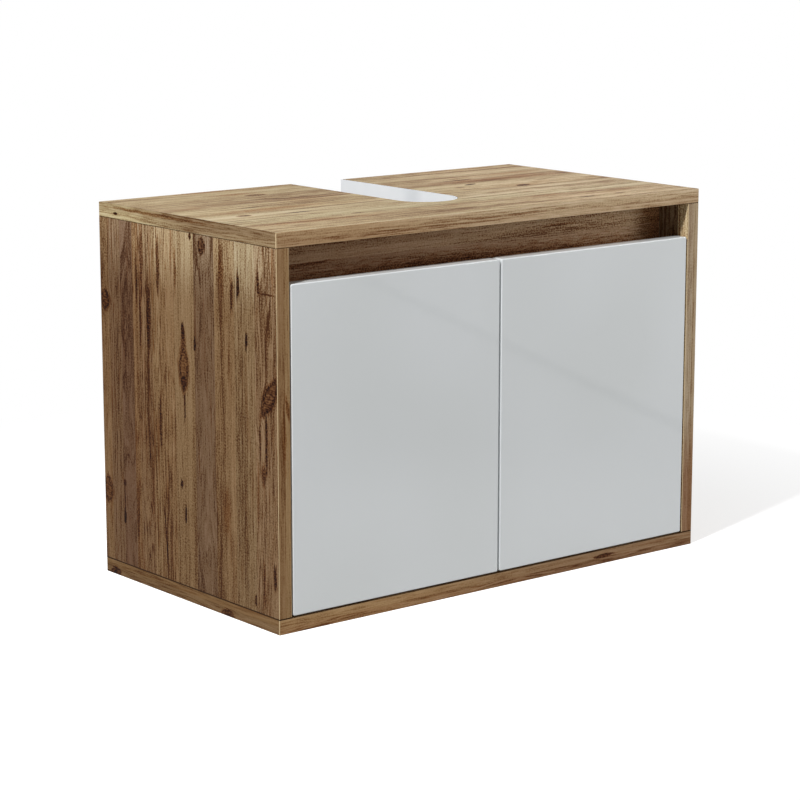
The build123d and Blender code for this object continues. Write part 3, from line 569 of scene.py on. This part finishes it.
relief = add(tree, "Bump", {"Strength": 0.12, "Distance": 0.05 * MM, "Height": peel})
feed(tree, surface, {"Base Color": tint, "Roughness": satin, "Normal": relief, "IOR": 1.5})
dress(gloss_white, "door_left", "door_right")

# ------------------------------------------------------------------ hinges
# Nickel-plated steel cup hinges: a drawn cup pressed in the door, a bent arm that turns on a pin
# in the cup, and a plate screwed to the side panel. The screws are zinc-plated.
nickel = plated_metal("nickel_plated_steel", "#B9B4AA", "#DAD6CD", 0.24, 4.0)
for side in ("left", "right"):
    for level in ("lower", "upper"):
        dress(nickel, *[f"hinge_{piece}_{side}_{level}" for piece in ("cup", "pin", "arm", "plate")])
        dress(zinc_plate, *[f"{piece}_screws_{side}_{level}" for piece in ("cup", "plate", "arm")])

# ------------------------------------------------------------------ wall hangers
# A moulded white housing on each side panel holds a zinc-plated hook, which two screws raise
# and draw to the wall. The plastic has the fine spark-eroded grain of its mould.
PLASTIC_SHADES = [(NOISE_LOW, "#DEDED8"), (NOISE_HIGH, "#E8E8E3")]
FLOW_SIZE = 20 * MM
MOULD_GRAIN = 0.7 * MM          # coarser than a real mould's grain, so that it shows
hanger_plastic, tree, surface = finish("moulded_white_plastic")
place = add(tree, "TexCoord").outputs["Object"]
grain = add(tree, "TexNoise", {"Vector": place, "Scale": 1 / MOULD_GRAIN, "Detail": 2.0})
flow = add(tree, "TexNoise", {"Vector": place, "Scale": 1 / FLOW_SIZE, "Detail": 1.0})
tint = add(tree, "ValToRGB", {0: flow}, stops=PLASTIC_SHADES)
relief = add(tree, "Bump", {"Strength": 0.4, "Distance": 0.05 * MM, "Height": grain})
feed(tree, surface, {"Base Color": tint, "Normal": relief, "Roughness": 0.48})
dress(hanger_plastic, "hanger_housing_left", "hanger_housing_right")
dress(zinc_plate, "hanger_hook_left", "hanger_hook_right", "hanger_screws_left", "hanger_screws_right")

# ------------------------------------------------------------------ door stops
# Two clear polyurethane blocks stuck to the bottom board, which the closed doors rest against.
# They are soft and slightly milky, with a faint wave in their skin.
STOP_SHADES = [(NOISE_LOW, "#D5DADB"), (NOISE_HIGH, "#E6EAEB")]
SKIN_WAVE = 3 * MM
clear_stop, tree, surface = finish("clear_polyurethane")
place = add(tree, "TexCoord").outputs["Object"]
skin = add(tree, "TexNoise", {"Vector": place, "Scale": 1 / SKIN_WAVE, "Detail": 1.0})
milky = add(tree, "ValToRGB", {0: skin}, stops=STOP_SHADES)
relief = add(tree, "Bump", {"Strength": 0.3, "Distance": 0.1 * MM, "Height": skin})
feed(tree, surface, {"Base Color": milky, "Normal": relief, "Roughness": 0.18, "IOR": 1.49,
                     "Transmission Weight": 0.8})
dress(clear_stop, "door_stop_left", "door_stop_right")

# ------------------------------------------------------------------ floor, light and camera
# A plain pale studio floor that runs on into the white background. It keeps the cabinet's shadow
# near it, and throws back about half of its light, as a pale grey floor does.
FLOOR_REACH = 40.0
FLOOR_LEVEL = -0.2 * MM         # just under the cabinet, so that no two faces lie in one plane
FLOOR_BOUNCE = "#A2A19F"
FLOOR_LIFT = 0.55               # what it glows by itself, so that only the shadow tells it from the white
FLOOR_FADE = (0.45, 0.95)       # how far out the shadow begins to fade, and how far out it is gone
REFLECTION_LINE_WAY = (0.939, 0.344, 0)     # the way across the painted reflection line
REFLECTION_LINE_PLACE = 0.34        # how far out along it the painted reflection starts, which the next line gives
REFLECTION_LINE = [(0.0, 0.93), (0.128, 0.93), (0.142, 0.52), (0.16, 0.52), (0.182, 1.0)]
WHITE = linear("#FFFFFF")
sheet = bmesh.new()
bmesh.ops.create_grid(sheet, x_segments=8, y_segments=8, size=FLOOR_REACH)
bmesh.ops.translate(sheet, verts=sheet.verts, vec=(0, 0, FLOOR_LEVEL))
floor_mesh = bpy.data.meshes.new("studio_floor")
sheet.to_mesh(floor_mesh)
sheet.free()
floor = bpy.data.objects.new("studio_floor", floor_mesh)
bpy.context.scene.collection.objects.link(floor)


def looked_at(tree, path):
    """1 for a ray that looks at the floor or the room, straight or in gloss or glass, and 0 for its light."""
    rays = ("Is Camera Ray", "Is Glossy Ray", "Is Transmission Ray")
    return strongest(tree, [path.outputs[ray] for ray in rays])


pale_floor = bpy.data.materials.new("pale_studio_floor")
pale_floor.use_nodes = True
tree = pale_floor.node_tree
tree.nodes.clear()
path = add(tree, "LightPath")
seen = looked_at(tree, path)
tint = add(tree, "Mix", {0: seen, 6: linear(FLOOR_BOUNCE), 7: WHITE}, data_type="RGBA")
lit = add(tree, "BsdfDiffuse", {"Color": tint.outputs[2]})
lift = add(tree, "Emission", {"Color": WHITE, "Strength": FLOOR_LIFT})
lifted = add(tree, "AddShader", {0: lit, 1: lift})
place = add(tree, "TexCoord").outputs["Object"]
away = add(tree, "VectorMath", {0: place}, operation="LENGTH").outputs["Value"]
fade = add(tree, "MapRange", {"Value": away, 1: FLOOR_FADE[0], 2: FLOOR_FADE[1], 3: 0, 4: 1},
           interpolation_type="SMOOTHSTEP")
# A painted reflection: a faint slanting line on the floor that only gloss sees, so that the doors show it.
across = add(tree, "VectorMath", {0: place, 1: REFLECTION_LINE_WAY}, operation="DOT_PRODUCT").outputs["Value"]
across = add(tree, "Math", {0: across, 1: REFLECTION_LINE_PLACE}, operation="SUBTRACT")
painted_reflection = add(tree, "ValToRGB", {0: across}, stops=REFLECTION_LINE)
painted_reflection = add(tree, "Mix", {0: path.outputs["Is Glossy Ray"], 6: WHITE, 7: painted_reflection}, data_type="RGBA")
glow = add(tree, "Emission", {"Color": painted_reflection.outputs[2], "Strength": 1.0})
near = add(tree, "MixShader", {0: fade, 1: lifted, 2: glow})
whole = add(tree, "MixShader", {0: seen, 1: lit, 2: near})
add(tree, "OutputMaterial", {"Surface": whole})
floor_mesh.materials.append(pale_floor)

# The room: dim and even for what it lights, white for what looks at it.
SKY_LEVEL = 0.25
world = bpy.data.worlds.new("studio_room")
bpy.context.scene.world = world
world.use_nodes = True
tree = world.node_tree
tree.nodes.clear()
seen = looked_at(tree, add(tree, "LightPath"))
level = add(tree, "MapRange", {"Value": seen, 1: 0, 2: 1, 3: SKY_LEVEL, 4: 1.0})
room = add(tree, "Background", {"Color": WHITE, "Strength": level})
add(tree, "OutputWorld", {"Surface": room})

# A soft key lamp, high up on the left, and a weaker one to the front right.
KEY_LEVEL = 0.85                # what it gives a surface that faces it, where 1 shows a colour as written
KEY_DISTANCE = 3.0
KEY_DIRECTION = Vector((-0.65, -0.26, 0.70)).normalized()
KEY_AIM = Vector((0.0, 0.0, 0.25))
KEY_SIZE = 0.28
FILL_LEVEL = 0.28               # on the right-hand door
FILL_PLACE = Vector((1.15, -1.2, 0.6))
FILL_AIM = Vector((0.2, -0.165, 0.3))
FILL_SIZE = 0.6
for name, place, aim, level, size in (
        ("key_softbox", KEY_AIM + KEY_DIRECTION * KEY_DISTANCE, KEY_AIM, KEY_LEVEL, KEY_SIZE),
        ("fill_softbox", FILL_PLACE, FILL_AIM, FILL_LEVEL, FILL_SIZE)):
    lamp = bpy.data.lights.new(name, "AREA")
    lamp.shape = "DISK"
    lamp.size = size
    lamp.energy = level * pi ** 2 * (place - aim).length_squared
    holder = bpy.data.objects.new(name, lamp)
    holder.location = place
    holder.rotation_euler = (place - aim).to_track_quat("Z", "Y").to_euler()
    bpy.context.scene.collection.objects.link(holder)

# The photograph's view: from the front left, a little above, through a long lens.
SENSOR_WIDTH = 36.0
LENS_LENGTH = 116.3
CAMERA_PLACE = (-1.8191, -2.2473, 0.7716)
CAMERA_TILT = 11.472            # degrees down from level
CAMERA_TURN = 38.88             # degrees to the right of straight ahead
lens = bpy.data.cameras.new("camera")
lens.sensor_width = SENSOR_WIDTH
lens.lens = LENS_LENGTH
lens.clip_end = 200.0
camera = bpy.data.objects.new("camera", lens)
camera.location = CAMERA_PLACE
camera.rotation_euler = (radians(90 - CAMERA_TILT), 0.0, radians(-CAMERA_TURN))
bpy.context.scene.collection.objects.link(camera)
bpy.context.scene.camera = camera
bpy.context.scene.view_settings.view_transform = "Standard"
